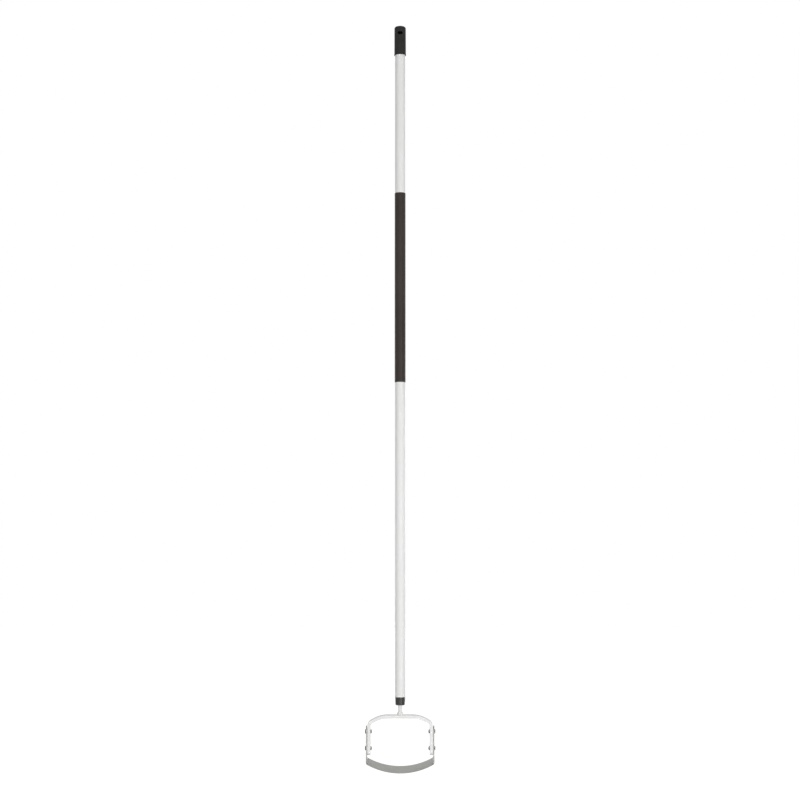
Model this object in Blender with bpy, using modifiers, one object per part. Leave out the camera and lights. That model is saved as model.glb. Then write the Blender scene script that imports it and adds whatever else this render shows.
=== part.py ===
"""A stirrup hoe: a long tube shaft with a cap and a grip, and a swinging strap blade on a steel bow.

Metres, +Z up along the shaft. The origin is the centre of the hang hole in the end cap, and the
blade's wide side faces -Y and +Y. Run it with: blender --background --python part.py
"""

import math

import bmesh
import bpy
from mathutils import Matrix, Vector

MM = 0.001
GAP = 0.25 * MM

# Shaft
TUBE_RADIUS = 11.0 * MM
TUBE_WALL = 1.2 * MM
TUBE_TOP = -8.3 * MM
TUBE_BOTTOM = -1448.2 * MM
ROUND_STEPS = 48

# End cap and its hang hole
CAP_TOP = 16.4 * MM
CAP_BOTTOM = -48.3 * MM
CAP_TOP_RADIUS = 12.55 * MM
CAP_BOTTOM_RADIUS = 12.75 * MM
CAP_RIM_ROUND = 4.0 * MM
CAP_LIP_HEIGHT = 3.4 * MM
CAP_LIP_STEP = 0.2 * MM
HANG_HOLE_HEIGHT = 7.0 * MM
HANG_HOLE_STRETCH = 1.55
HANG_HOLE_MOUTH_ROUND = 1.5 * MM

# Grip sleeve
GRIP_TOP = -358.0 * MM
GRIP_BOTTOM = -775.0 * MM
GRIP_RADIUS = 11.8 * MM

# Collar, stem and the plug that centres the stem in the tube
COLLAR_BOTTOM = -1465.2 * MM
COLLAR_TOP_RADIUS = 10.9 * MM
COLLAR_LOW_RADIUS = 10.05 * MM
COLLAR_EDGE_ROUND = 2.2 * MM
SPIGOT_LENGTH = 45.0 * MM
STEM_RADIUS = 4.25 * MM
STEM_TOP = -1332.0 * MM
PLUG_TOP = -1340.0 * MM
PLUG_LENGTH = 16.0 * MM
RETAINER_RADIUS = 8.0 * MM
RETAINER_THICKNESS = 0.8 * MM
WELD_RADIUS = 7.0 * MM
WELD_HEIGHT = 6.0 * MM
WELD_CROWN = 0.45 * MM

# Bow, a flat bar bent flatwise into a stirrup
BOW_TOP = -1485.4 * MM
BOW_THICKNESS = 6.8 * MM
BOW_HALF_WIDTH = 12.0 * MM
BOW_OUTER_X = 69.8 * MM
BOW_FLAT_HALF = 26.0 * MM
BOW_SHOULDER_ANGLE = math.radians(28.0)
BOW_FIRST_RADIUS = 60.0 * MM
BOW_CORNER_RADIUS = 12.0 * MM
BOW_EDGE_ROUND = 0.9 * MM
ARM_END_ROUND = 7.0 * MM

# Pivot, stop and swing
PIVOT_Z = -1520.0 * MM
STOP_DROP = 35.0 * MM
ARM_END_Z = PIVOT_Z - STOP_DROP - 14.0 * MM
SWING = math.radians(8.0)
SWING_PLAY = math.radians(0.5)

# Blade, a strap bent round the outside of the bow's arms
BLADE_THICKNESS = 2.3 * MM
BLADE_HALF_WIDTH = 12.2 * MM
BLADE_PITCH = math.radians(28.0)
BLADE_SIDE_PLAY = 0.4 * MM
BLADE_MIDDLE_Z = -1599.3 * MM
BLADE_ARCH_RADIUS = 144.0 * MM
BLADE_CORNER_RADIUS = 5.0 * MM
BLADE_TWIST_LENGTH = 12.0 * MM
GRIND_WIDTH = 4.0 * MM
GRIND_LAND = 0.5 * MM
LEG_EDGE = 0.35 * MM

# Screws, nuts and bushes
SCREW_RADIUS = 2.5 * MM
HEAD_RADIUS = 4.9 * MM
HEAD_HEIGHT = 1.6 * MM
HEAD_CROWN_RADIUS = 2.4 * MM
HEAD_LIP = 0.5 * MM
SOCKET_ACROSS_FLATS = 3.0 * MM
SOCKET_DEPTH = 1.3 * MM
BUSH_RADIUS = 3.8 * MM
HOLE_PLAY = 0.3 * MM
NUT_ACROSS_FLATS = 8.0 * MM
NUT_HEIGHT = 2.5 * MM
THREAD_PAST_NUT = 0.4 * MM

TURN_X = Matrix.Rotation(math.radians(90.0), 4, "Y")


def clear_scene():
    for obj in list(bpy.data.objects):
        bpy.data.objects.remove(obj)


def new_collection(name):
    collection = bpy.data.collections.new(name)
    bpy.context.scene.collection.children.link(collection)
    return collection


def new_material(name, colour, metallic, roughness):
    material = bpy.data.materials.new(name)
    material.use_nodes = True
    shader = material.node_tree.nodes["Principled BSDF"]
    shader.inputs["Base Color"].default_value = (*colour, 1.0)
    shader.inputs["Metallic"].default_value = metallic
    shader.inputs["Roughness"].default_value = roughness
    return material


def add_object(name, mesh, collection, material=None):
    obj = bpy.data.objects.new(name, mesh)
    collection.objects.link(obj)
    if material:
        mesh.materials.append(material)
    return obj


def mesh_from(bm, name):
    mesh = bpy.data.meshes.new(name)
    bm.to_mesh(mesh)
    bm.free()
    return mesh


def turned(name, profile, collection, material=None, closed=False, steps=ROUND_STEPS):
    """A turned piece. The profile's (radius, z) points run down the outer side from the top."""
    bm = bmesh.new()
    verts = [bm.verts.new((radius, 0.0, z)) for radius, z in profile]
    for first, second in zip(verts, verts[1:]):
        bm.edges.new((first, second))
    if closed:
        bm.edges.new((verts[-1], verts[0]))
    obj = add_object(name, mesh_from(bm, name), collection, material)
    screw = obj.modifiers.new("Turn", "SCREW")
    screw.steps = steps
    screw.render_steps = steps
    screw.use_merge_vertices = True
    screw.merge_threshold = 0.00001
    return obj


def rounded_corner(centre, radius, start, end, steps=5):
    """Points of an arc in a profile, with angles in degrees from the outward direction."""
    angles = [math.radians(start + (end - start) * step / steps) for step in range(steps + 1)]
    return [(centre[0] + radius * math.cos(a), centre[1] + radius * math.sin(a)) for a in angles]


def bar_along_x(name, radius, half_length, y, z, collection, sides=32):
    """A round or hexagonal bar along X, used as a cutter or as the start of a nut."""
    bm = bmesh.new()
    bmesh.ops.create_cone(
        bm, cap_ends=True, segments=sides, radius1=radius, radius2=radius, depth=2.0 * half_length,
        matrix=Matrix.Translation((0.0, y, z)) @ TURN_X,
    )
    return add_object(name, mesh_from(bm, name), collection)


def cut(obj, cutter, name):
    boolean = obj.modifiers.new(name, "BOOLEAN")
    boolean.operation = "DIFFERENCE"
    boolean.solver = "EXACT"
    boolean.object = cutter


def hide_cutter(obj):
    obj.hide_render = True
    obj.display_type = "WIRE"
    return obj


def flat_outline(name, points, half_thickness, collection):
    """A flat outline of (x, y) points made into a solid mesh, for use as a cutter."""
    curve = bpy.data.curves.new(name, "CURVE")
    curve.dimensions = "2D"
    curve.fill_mode = "BOTH"
    curve.extrude = half_thickness
    spline = curve.splines.new("POLY")
    spline.points.add(len(points) - 1)
    for point, (x, y) in zip(spline.points, points):
        point.co = (x, y, 0.0, 1.0)
    spline.use_cyclic_u = True
    source = add_object(name + "_curve", curve, collection)
    evaluated = source.evaluated_get(bpy.context.evaluated_depsgraph_get())
    mesh = bpy.data.meshes.new_from_object(evaluated)
    bm = bmesh.new()
    bm.from_mesh(mesh)
    bmesh.ops.remove_doubles(bm, verts=bm.verts, dist=0.000001)
    bmesh.ops.recalc_face_normals(bm, faces=bm.faces)
    bm.to_mesh(mesh)
    bm.free()
    bpy.data.objects.remove(source)
    return add_object(name, mesh, collection)


def station(x, z, angle, half_width, pitch=0.0, grind=0.0, land=0.0):
    """One cross-section of a strap: its middle, the path's direction, its width, pitch and edges."""
    return {"x": x, "z": z, "angle": angle, "half_width": half_width,
            "pitch": pitch, "grind": grind, "land": land}


def strap_section(bm, place, thickness):
    """Points round a strap: four, or six where ground edges make its inner face the narrower one."""
    tangent = Vector((math.cos(place["angle"]), 0.0, math.sin(place["angle"])))
    across = Vector((0.0, 1.0, math.tan(place["pitch"])))
    normal = tangent.cross(across).normalized()
    middle = Vector((place["x"], 0.0, place["z"]))
    half = thickness / 2.0
    width = place["half_width"]
    ring = [(-width, -half), (-width, half), (width, half), (width, -half)]
    if place["grind"]:
        flat = width - place["grind"]
        shoulder = place["land"] - half
        ring[1:3] = [(-width, shoulder), (-flat, half), (flat, half), (width, shoulder)]
    return [bm.verts.new(middle + across * y + normal * out) for y, out in ring]


def strap(name, stations, thickness, collection, material):
    """A loft through the strap's cross-sections, closed at both ends."""
    bm = bmesh.new()
    rings = [strap_section(bm, place, thickness) for place in stations]
    count = len(rings[0])
    for lower, upper in zip(rings, rings[1:]):
        for index in range(count):
            following = (index + 1) % count
            bm.faces.new((lower[index], upper[index], upper[following], lower[following]))
    bm.faces.new(rings[0])
    bm.faces.new(reversed(rings[-1]))
    bmesh.ops.recalc_face_normals(bm, faces=bm.faces)
    return add_object(name, mesh_from(bm, name), collection, material)


def arc_steps(start, end, steps):
    return [start + (end - start) * step / steps for step in range(steps + 1)]


def round_top(z, half_width):
    """Heights and half widths of a half-round top, from its full width to a short flat."""
    angles = arc_steps(math.radians(0.0), math.radians(80.0), 12)
    return [(z + half_width * math.sin(a), half_width * math.cos(a)) for a in angles]


def mirrored(half):
    """The other half of a strap's stations, given the half from X = 0 outwards."""
    return [dict(place, x=-place["x"], angle=-place["angle"]) for place in half if place["x"] > 0.0]


def bow_stations():
    """The right half runs from the middle of the bar out to the arm's lower end."""
    middle_x = BOW_OUTER_X - BOW_THICKNESS / 2.0
    bar_z = BOW_TOP - BOW_THICKNESS / 2.0
    slope = BOW_SHOULDER_ANGLE
    width = BOW_HALF_WIDTH
    sloped_run = (
        middle_x - BOW_FLAT_HALF - BOW_FIRST_RADIUS * math.sin(slope)
        - BOW_CORNER_RADIUS * (1.0 - math.sin(slope))
    )
    half = [station(0.0, bar_z, 0.0, width)]
    for turn in arc_steps(0.0, slope, 5):
        x = BOW_FLAT_HALF + BOW_FIRST_RADIUS * math.sin(turn)
        z = bar_z - BOW_FIRST_RADIUS * (1.0 - math.cos(turn))
        half.append(station(x, z, -turn, width))
    corner_x = x + sloped_run
    corner_z = z - sloped_run * math.tan(slope)
    for turn in arc_steps(slope, math.pi / 2.0, 9):
        x = corner_x + BOW_CORNER_RADIUS * (math.sin(turn) - math.sin(slope))
        z = corner_z - BOW_CORNER_RADIUS * (math.cos(slope) - math.cos(turn))
        half.append(station(x, z, -turn, width))
    half.append(station(middle_x, ARM_END_Z, -math.pi / 2.0, width))
    return list(reversed(mirrored(half))) + half


def blade_middle_x():
    return BOW_OUTER_X + BLADE_SIDE_PLAY + BLADE_THICKNESS / 2.0


def blade_stations():
    """The right half runs from the middle of the arch, round the corner and up the leg."""
    arch_z = BLADE_MIDDLE_Z + BLADE_ARCH_RADIUS
    leg_x = blade_middle_x()
    corner_x = leg_x - BLADE_CORNER_RADIUS
    to_corner = BLADE_ARCH_RADIUS - BLADE_CORNER_RADIUS
    arch_turn = math.asin(corner_x / to_corner)
    corner_z = arch_z - to_corner * math.cos(arch_turn)
    width = BLADE_HALF_WIDTH
    land = {"grind": GRIND_WIDTH, "land": GRIND_LAND}
    leg_land = BLADE_THICKNESS - LEG_EDGE
    half = []
    for turn in arc_steps(0.0, arch_turn, 12):
        x = BLADE_ARCH_RADIUS * math.sin(turn)
        z = arch_z - BLADE_ARCH_RADIUS * math.cos(turn)
        half.append(station(x, z, turn, width, BLADE_PITCH, **land))
    corner_turns = arc_steps(arch_turn, math.pi / 2.0, 8)
    for step, turn in enumerate(corner_turns[1:], start=1):
        share = step / (len(corner_turns) - 1)
        x = corner_x + BLADE_CORNER_RADIUS * math.sin(turn)
        z = corner_z - BLADE_CORNER_RADIUS * math.cos(turn)
        grind = GRIND_WIDTH + (LEG_EDGE - GRIND_WIDTH) * share
        edge = GRIND_LAND + (leg_land - GRIND_LAND) * share
        half.append(station(x, z, turn, width, BLADE_PITCH, grind, edge))
    for step in range(1, 7):
        share = step / 6.0
        eased = share * share * (3.0 - 2.0 * share)
        pitch = math.atan(math.tan(BLADE_PITCH) * (1.0 - eased))
        z = corner_z + BLADE_TWIST_LENGTH * share
        half.append(station(leg_x, z, math.pi / 2.0, width, pitch, LEG_EDGE, leg_land))
    for z, end_width in round_top(PIVOT_Z, width):
        edge = min(LEG_EDGE, end_width / 4.0)
        half.append(station(leg_x, z, math.pi / 2.0, end_width, 0.0, edge, leg_land))
    return list(reversed(mirrored(half))) + half


def make_shaft(parts, cutters, looks):
    bore = TUBE_RADIUS - TUBE_WALL
    tube = [(TUBE_RADIUS, TUBE_TOP), (TUBE_RADIUS, TUBE_BOTTOM), (bore, TUBE_BOTTOM), (bore, TUBE_TOP)]
    turned("shaft_tube", tube, parts, looks["white_tube"], closed=True)

    inner = TUBE_RADIUS + GAP
    edge = 0.3 * MM
    grip = [
        (GRIP_RADIUS - edge, GRIP_TOP), (GRIP_RADIUS, GRIP_TOP - edge),
        (GRIP_RADIUS, GRIP_BOTTOM + edge), (GRIP_RADIUS - edge, GRIP_BOTTOM),
        (inner, GRIP_BOTTOM), (inner, GRIP_TOP),
    ]
    turned("grip_sleeve", grip, parts, looks["grip_rubber"], closed=True)

    rim = CAP_RIM_ROUND
    cap = [(0.0, CAP_TOP)]
    cap += rounded_corner((CAP_TOP_RADIUS - rim, CAP_TOP - rim), rim, 90.0, 0.0)
    lip_top = CAP_BOTTOM + CAP_LIP_HEIGHT
    lip_radius = CAP_BOTTOM_RADIUS + CAP_LIP_STEP
    cap += [(CAP_BOTTOM_RADIUS, lip_top + CAP_LIP_STEP), (lip_radius, lip_top),
            (lip_radius, CAP_BOTTOM + edge), (lip_radius - edge, CAP_BOTTOM)]
    cap += [(inner, CAP_BOTTOM), (inner, TUBE_TOP + GAP), (0.0, TUBE_TOP + GAP)]
    end_cap = turned("end_cap", cap, parts, looks["black_plastic"])
    cut(end_cap, hang_hole_cutter(cutters), "Hang hole")


def hang_hole_cutter(cutters):
    """An oval bore along Y whose mouths open with a round edge."""
    bore = HANG_HOLE_HEIGHT / 2.0
    round_edge = HANG_HOLE_MOUTH_ROUND
    centre = (bore + round_edge, CAP_TOP_RADIUS - round_edge)
    far = 2.0 * CAP_TOP_RADIUS
    mouth = [(bore + round_edge, far)] + rounded_corner(centre, round_edge, 90.0, 180.0)
    other = [(radius, -z) for radius, z in reversed(mouth)]
    cutter = turned("hang_hole_cutter", [(0.0, far)] + mouth + other + [(0.0, -far)], cutters, steps=32)
    cutter.matrix_world = (
        Matrix.Diagonal((HANG_HOLE_STRETCH, 1.0, 1.0, 1.0)) @ Matrix.Rotation(math.radians(90.0), 4, "X")
    )
    return hide_cutter(cutter)


def make_neck(parts, looks):
    """The collar in the tube's mouth, the stem through it, and what centres the stem inside."""
    spigot = TUBE_RADIUS - TUBE_WALL - GAP
    stem_bore = STEM_RADIUS + GAP
    shoulder = TUBE_BOTTOM - GAP
    spigot_top = TUBE_BOTTOM + SPIGOT_LENGTH
    lead = 1.0 * MM
    round_centre = (COLLAR_LOW_RADIUS - COLLAR_EDGE_ROUND, COLLAR_BOTTOM + COLLAR_EDGE_ROUND)
    collar = [(spigot - lead, spigot_top), (spigot, spigot_top - lead), (spigot, shoulder),
              (COLLAR_TOP_RADIUS, shoulder)]
    collar += rounded_corner(round_centre, COLLAR_EDGE_ROUND, 0.0, -90.0)
    collar += [(stem_bore, COLLAR_BOTTOM), (stem_bore, spigot_top)]
    turned("collar", collar, parts, looks["black_plastic"], closed=True)

    chamfer = 0.6 * MM
    foot = BOW_TOP + GAP
    stem = [(0.0, STEM_TOP), (STEM_RADIUS - chamfer, STEM_TOP), (STEM_RADIUS, STEM_TOP - chamfer),
            (STEM_RADIUS, foot), (0.0, foot)]
    turned("stem", stem, parts, looks["white_steel"], steps=32)

    plug_bottom = PLUG_TOP - PLUG_LENGTH
    plug = [(spigot - lead, PLUG_TOP), (spigot, PLUG_TOP - lead), (spigot, plug_bottom + lead),
            (spigot - lead, plug_bottom), (stem_bore, plug_bottom), (stem_bore, PLUG_TOP)]
    turned("stem_plug", plug, parts, looks["black_plastic"], closed=True)

    ring_bottom = PLUG_TOP + GAP
    ring_top = ring_bottom + RETAINER_THICKNESS
    dish = 0.6 * MM
    retainer = [(RETAINER_RADIUS, ring_top), (RETAINER_RADIUS, ring_bottom),
                (stem_bore, ring_bottom + dish), (stem_bore, ring_top + dish)]
    turned("stem_retainer", retainer, parts, looks["dark_steel"], closed=True, steps=32)

    weld = []
    reach = WELD_RADIUS - stem_bore
    top_share = 0.15
    for share in arc_steps(top_share, 1.0, 6):
        crown = WELD_CROWN * math.sin(math.pi * share)
        weld.append((stem_bore + reach * share + crown, foot + WELD_HEIGHT * (1.0 - share) + crown))
    weld += [(stem_bore, foot), (stem_bore, foot + WELD_HEIGHT)]
    turned("weld_fillet", weld, parts, looks["white_steel"], closed=True, steps=32)


def mark_arm_ends(bow):
    """Gives a bevel weight to the four short edges at the arms' ends, which run through the bar."""
    weights = bow.data.attributes.new("bevel_weight_edge", "FLOAT", "EDGE")
    for edge in bow.data.edges:
        first, second = (bow.data.vertices[index].co for index in edge.vertices)
        at_end = max(first.z, second.z) < ARM_END_Z + GAP
        if at_end and abs(first.x - second.x) > BOW_THICKNESS / 2.0:
            weights.data[edge.index].value = 1.0


def make_bow(parts, cutters, looks):
    bow = strap("bow", bow_stations(), BOW_THICKNESS, parts, looks["white_steel"])
    mark_arm_ends(bow)
    ends = bow.modifiers.new("Round the arms' ends", "BEVEL")
    ends.width = ARM_END_ROUND
    ends.segments = 6
    ends.limit_method = "WEIGHT"
    edges = bow.modifiers.new("Round the edges", "BEVEL")
    edges.width = BOW_EDGE_ROUND
    edges.segments = 2
    edges.limit_method = "ANGLE"
    edges.angle_limit = math.radians(50.0)
    for label, z in (("pivot", PIVOT_Z), ("stop", PIVOT_Z - STOP_DROP)):
        cutter = bar_along_x("bow_" + label + "_cutter", SCREW_RADIUS + HOLE_PLAY,
                             2.0 * BOW_OUTER_X, 0.0, z, cutters)
        cut(bow, hide_cutter(cutter), label + " holes")


def slot_outline(radius):
    """The stop slot round the pivot, as (along, across) points below the pivot."""
    reach = SWING + SWING_PLAY
    points = []
    for turn in arc_steps(-reach, reach, 10):
        points.append(((STOP_DROP + radius) * math.sin(turn), -(STOP_DROP + radius) * math.cos(turn)))
    end = Vector((STOP_DROP * math.sin(reach), -STOP_DROP * math.cos(reach)))
    for turn in arc_steps(-math.pi / 2.0, math.pi / 2.0, 10)[1:-1]:
        points.append((end.x + radius * math.cos(turn + reach), end.y + radius * math.sin(turn + reach)))
    for turn in arc_steps(reach, -reach, 10):
        points.append(((STOP_DROP - radius) * math.sin(turn), -(STOP_DROP - radius) * math.cos(turn)))
    for turn in arc_steps(math.pi / 2.0, math.pi * 1.5, 10)[1:-1]:
        points.append((-end.x + radius * math.cos(turn - reach), end.y + radius * math.sin(turn - reach)))
    return points


def make_blade(parts, cutters, looks):
    blade = strap("blade", blade_stations(), BLADE_THICKNESS, parts, looks["blade_steel"])
    hole_radius = BUSH_RADIUS + HOLE_PLAY
    reach = 2.0 * BOW_OUTER_X
    pivot = bar_along_x("blade_pivot_cutter", hole_radius, reach, 0.0, PIVOT_Z, cutters)
    cut(blade, hide_cutter(pivot), "Pivot holes")
    slot = flat_outline("blade_slot_cutter", slot_outline(hole_radius), reach, cutters)
    upright = Matrix(((0.0, 0.0, 1.0, 0.0), (1.0, 0.0, 0.0, 0.0), (0.0, 1.0, 0.0, 0.0), (0.0, 0.0, 0.0, 1.0)))
    slot.data.transform(Matrix.Translation((0.0, 0.0, PIVOT_Z)) @ upright)
    cut(blade, hide_cutter(slot), "Stop slots")
    return blade


def add_screw(name, side, z, parts, cutters, look):
    """A low domed screw. It is turned upright, then laid along X with its head outwards."""
    under_head = blade_middle_x() + BLADE_THICKNESS / 2.0 + BLADE_SIDE_PLAY
    tip = BOW_OUTER_X - BOW_THICKNESS - GAP - NUT_HEIGHT - THREAD_PAST_NUT
    dome = HEAD_HEIGHT - HEAD_LIP
    profile = [(0.0, under_head + HEAD_HEIGHT), (HEAD_CROWN_RADIUS, under_head + HEAD_HEIGHT)]
    for turn in arc_steps(math.radians(70.0), math.radians(0.0), 4):
        radius = HEAD_CROWN_RADIUS + (HEAD_RADIUS - HEAD_CROWN_RADIUS) * math.cos(turn)
        profile.append((radius, under_head + HEAD_LIP + dome * math.sin(turn)))
    chamfer = 0.5 * MM
    profile += [(HEAD_RADIUS, under_head), (SCREW_RADIUS, under_head), (SCREW_RADIUS, tip + chamfer),
                (SCREW_RADIUS - chamfer, tip), (0.0, tip)]
    screw = turned(name, profile, parts, look, steps=24)
    socket = hide_cutter(socket_cutter(name + "_socket_cutter", under_head + HEAD_HEIGHT, cutters))
    cut(screw, socket, "Hexagon socket")
    lay = Matrix.Translation((0.0, 0.0, z)) @ Matrix.Rotation(math.radians(90.0 * side), 4, "Y")
    screw.matrix_world = lay
    socket.matrix_world = lay
    return screw


def socket_cutter(name, top, collection):
    bm = bmesh.new()
    radius = SOCKET_ACROSS_FLATS / math.sqrt(3.0)
    bmesh.ops.create_cone(
        bm, cap_ends=True, segments=6, radius1=radius, radius2=radius, depth=2.0 * SOCKET_DEPTH,
        matrix=Matrix.Translation((0.0, 0.0, top)),
    )
    return add_object(name, mesh_from(bm, name), collection)


def add_bush(name, side, z, parts, look):
    inner = BOW_OUTER_X + GAP
    outer = blade_middle_x() + BLADE_THICKNESS / 2.0 + BLADE_SIDE_PLAY - GAP
    bore = SCREW_RADIUS + GAP
    profile = [(BUSH_RADIUS, outer), (BUSH_RADIUS, inner), (bore, inner), (bore, outer)]
    bush = turned(name, profile, parts, look, closed=True, steps=32)
    bush.matrix_world = (
        Matrix.Translation((0.0, 0.0, z)) @ Matrix.Rotation(math.radians(90.0 * side), 4, "Y")
    )
    return bush


def add_nut(name, side, z, parts, cutter, look):
    face = BOW_OUTER_X - BOW_THICKNESS - GAP
    middle = side * (face - NUT_HEIGHT / 2.0)
    bm = bmesh.new()
    radius = NUT_ACROSS_FLATS / math.sqrt(3.0)
    bmesh.ops.create_cone(
        bm, cap_ends=True, segments=6, radius1=radius, radius2=radius, depth=NUT_HEIGHT,
        matrix=Matrix.Translation((middle, 0.0, z)) @ TURN_X,
    )
    nut = add_object(name, mesh_from(bm, name), parts, look)
    cut(nut, cutter, "Thread bore")
    return nut


def make_fixings(parts, cutters, looks):
    """A screw, a bush and a nut at the pivot and at the stop, on each side."""
    for label, z in (("pivot", PIVOT_Z), ("stop", PIVOT_Z - STOP_DROP)):
        cutter = bar_along_x(label + "_nut_cutter", SCREW_RADIUS + GAP, BOW_OUTER_X, 0.0, z, cutters)
        hide_cutter(cutter)
        for side_name, side in (("left", -1.0), ("right", 1.0)):
            ending = "_" + side_name
            add_screw(label + "_screw" + ending, side, z, parts, cutters, looks["dark_steel"])
            add_bush(label + "_bush" + ending, side, z, parts, looks["dark_steel"])
            add_nut(label + "_nut" + ending, side, z, parts, cutter, looks["plated_steel"])


def hang_blade(blade, parts):
    """The blade turns with an empty on the pivot axis."""
    pivot = bpy.data.objects.new("blade_pivot", None)
    parts.objects.link(pivot)
    pivot.location = (0.0, 0.0, PIVOT_Z)
    pivot.empty_display_size = 0.02
    blade.parent = pivot
    blade.matrix_parent_inverse = Matrix.Translation((0.0, 0.0, PIVOT_Z)).inverted()


def main():
    clear_scene()
    parts = new_collection("Stirrup hoe")
    cutters = new_collection("Cutters")
    cutters.hide_render = True
    looks = {
        "white_tube": new_material("White coated tube", (0.74, 0.74, 0.73), 0.0, 0.42),
        "white_steel": new_material("White painted steel", (0.80, 0.80, 0.79), 0.0, 0.35),
        "black_plastic": new_material("Black plastic", (0.022, 0.023, 0.025), 0.0, 0.45),
        "grip_rubber": new_material("Dark grip rubber", (0.036, 0.032, 0.030), 0.0, 0.62),
        "blade_steel": new_material("Blade steel", (0.33, 0.33, 0.31), 1.0, 0.42),
        "dark_steel": new_material("Dark screw steel", (0.09, 0.09, 0.10), 1.0, 0.40),
        "plated_steel": new_material("Plated nut steel", (0.45, 0.45, 0.46), 1.0, 0.35),
    }
    make_shaft(parts, cutters, looks)
    make_neck(parts, looks)
    make_bow(parts, cutters, looks)
    blade = make_blade(parts, cutters, looks)
    make_fixings(parts, cutters, looks)
    hang_blade(blade, parts)
    bpy.context.view_layer.update()


main()
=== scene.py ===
# %% [markdown]
# # A stirrup hoe, finished piece by piece
#
# This lesson dresses the frame of a stirrup hoe: a long tube with a cap and a grip, a steel bow
# below it, and a strap blade that swings on the bow. The frame already holds every piece at its
# real size. Here each visible piece gets a smooth, finely edged shape and a finish of its own.
# Heights run along Z, with zero at the hang hole in the cap, and the camera looks along +Y.

# %% Load the frame
import math

import bpy
from mathutils import Matrix, Vector, noise


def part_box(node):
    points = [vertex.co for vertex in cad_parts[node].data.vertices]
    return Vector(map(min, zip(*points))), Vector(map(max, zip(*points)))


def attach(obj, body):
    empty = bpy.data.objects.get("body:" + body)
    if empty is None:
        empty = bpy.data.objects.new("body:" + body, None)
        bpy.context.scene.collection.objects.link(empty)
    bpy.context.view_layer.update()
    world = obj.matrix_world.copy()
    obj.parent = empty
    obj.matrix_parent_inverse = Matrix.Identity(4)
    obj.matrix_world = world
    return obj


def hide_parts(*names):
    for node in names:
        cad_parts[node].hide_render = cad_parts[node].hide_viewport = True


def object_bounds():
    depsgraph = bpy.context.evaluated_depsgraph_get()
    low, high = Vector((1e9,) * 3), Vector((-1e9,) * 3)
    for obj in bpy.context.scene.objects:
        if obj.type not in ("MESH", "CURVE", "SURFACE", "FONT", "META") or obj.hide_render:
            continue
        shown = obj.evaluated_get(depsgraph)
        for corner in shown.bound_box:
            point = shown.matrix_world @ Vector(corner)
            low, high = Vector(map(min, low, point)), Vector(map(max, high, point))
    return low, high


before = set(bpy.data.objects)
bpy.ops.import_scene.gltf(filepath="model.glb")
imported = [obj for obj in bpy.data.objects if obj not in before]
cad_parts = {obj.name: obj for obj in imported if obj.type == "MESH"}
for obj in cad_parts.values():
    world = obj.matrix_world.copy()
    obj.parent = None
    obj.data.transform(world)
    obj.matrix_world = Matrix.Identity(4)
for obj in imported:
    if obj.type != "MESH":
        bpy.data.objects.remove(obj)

cad_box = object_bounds()
MM = 0.001
HANDLE = "handle"
BLADE = "swinging_blade"
print("frame box", [tuple(round(value, 4) for value in corner) for corner in cad_box])

# %% [markdown]
# ## Camera
#
# The tool was photographed hanging upright, from a little below the middle of its shaft, with the
# lens tilted up. That is why the cap is seen from below and the bow from above. A long lens from
# almost four metres away keeps the shaft nearly the same width from top to bottom.

# %% Camera
PICTURE_SIDE = 800
FOCAL_PIXELS = 1750.0
SENSOR_WIDTH = 36.0
LENS_TILT = math.radians(6.0)
LENS_DISTANCE = 3.786
AIM_HEIGHT = -0.8133
AIM_SIDE = -0.0003

camera_data = bpy.data.cameras.new("camera")
camera_data.sensor_width = SENSOR_WIDTH
camera_data.lens = FOCAL_PIXELS / PICTURE_SIDE * SENSOR_WIDTH
camera_data.clip_end = 60.0
camera = bpy.data.objects.new("camera", camera_data)
bpy.context.scene.collection.objects.link(camera)
camera.location = (
    AIM_SIDE,
    -LENS_DISTANCE * math.cos(LENS_TILT),
    AIM_HEIGHT - LENS_DISTANCE * math.sin(LENS_TILT),
)
camera.rotation_euler = (math.radians(90.0) + LENS_TILT, 0.0, 0.0)
bpy.context.scene.camera = camera
print("camera height", round(camera.location.z, 3), "lens", round(camera_data.lens, 2), "mm")

# %% [markdown]
# ## Floor, sky and lamps
#
# The tool hangs clear of the ground, as on a wall hook, so the floor lies some way below the
# blade. Floor and sky are pale. For the camera they are lifted to plain white with Light Path's
# Is Camera Ray, so no extra light falls on the tool. Mirror-like surfaces see the same pale sky.

# %% Helpers for nodes
def new_material(name):
    """A material whose nodes are cleared down to one Principled shader."""
    material = bpy.data.materials.new(name)
    material.use_nodes = True
    nodes = material.node_tree.nodes
    nodes.clear()
    shader = nodes.new("ShaderNodeBsdfPrincipled")
    output = nodes.new("ShaderNodeOutputMaterial")
    material.node_tree.links.new(shader.outputs["BSDF"], output.inputs["Surface"])
    return material, shader


def add_node(material, kind, values=None, **settings):
    """Adds a node to a material or world: its attributes first, then its sockets' defaults."""
    node = material.node_tree.nodes.new(kind)
    for key, value in settings.items():
        setattr(node, key, value)
    for key, value in (values or {}).items():
        node.inputs[key].default_value = value
    return node


def join(material, source, target):
    material.node_tree.links.new(source, target)


# %% Floor and sky
FLOOR_DROP = 0.44
FLOOR_SIDE = 60.0
FLOOR_GLOW = 0.75
FLOOR_PAPER = (0.86, 0.86, 0.86, 1.0)
SKY_LIGHT = 0.36
WHITE = (1.0, 1.0, 1.0, 1.0)

floor_height = cad_box[0][2] - FLOOR_DROP
bpy.ops.object.select_all(action="DESELECT")
bpy.ops.mesh.primitive_plane_add(size=FLOOR_SIDE, location=(0.0, 0.0, floor_height))
floor = bpy.context.object
floor.name = "floor"

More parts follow.
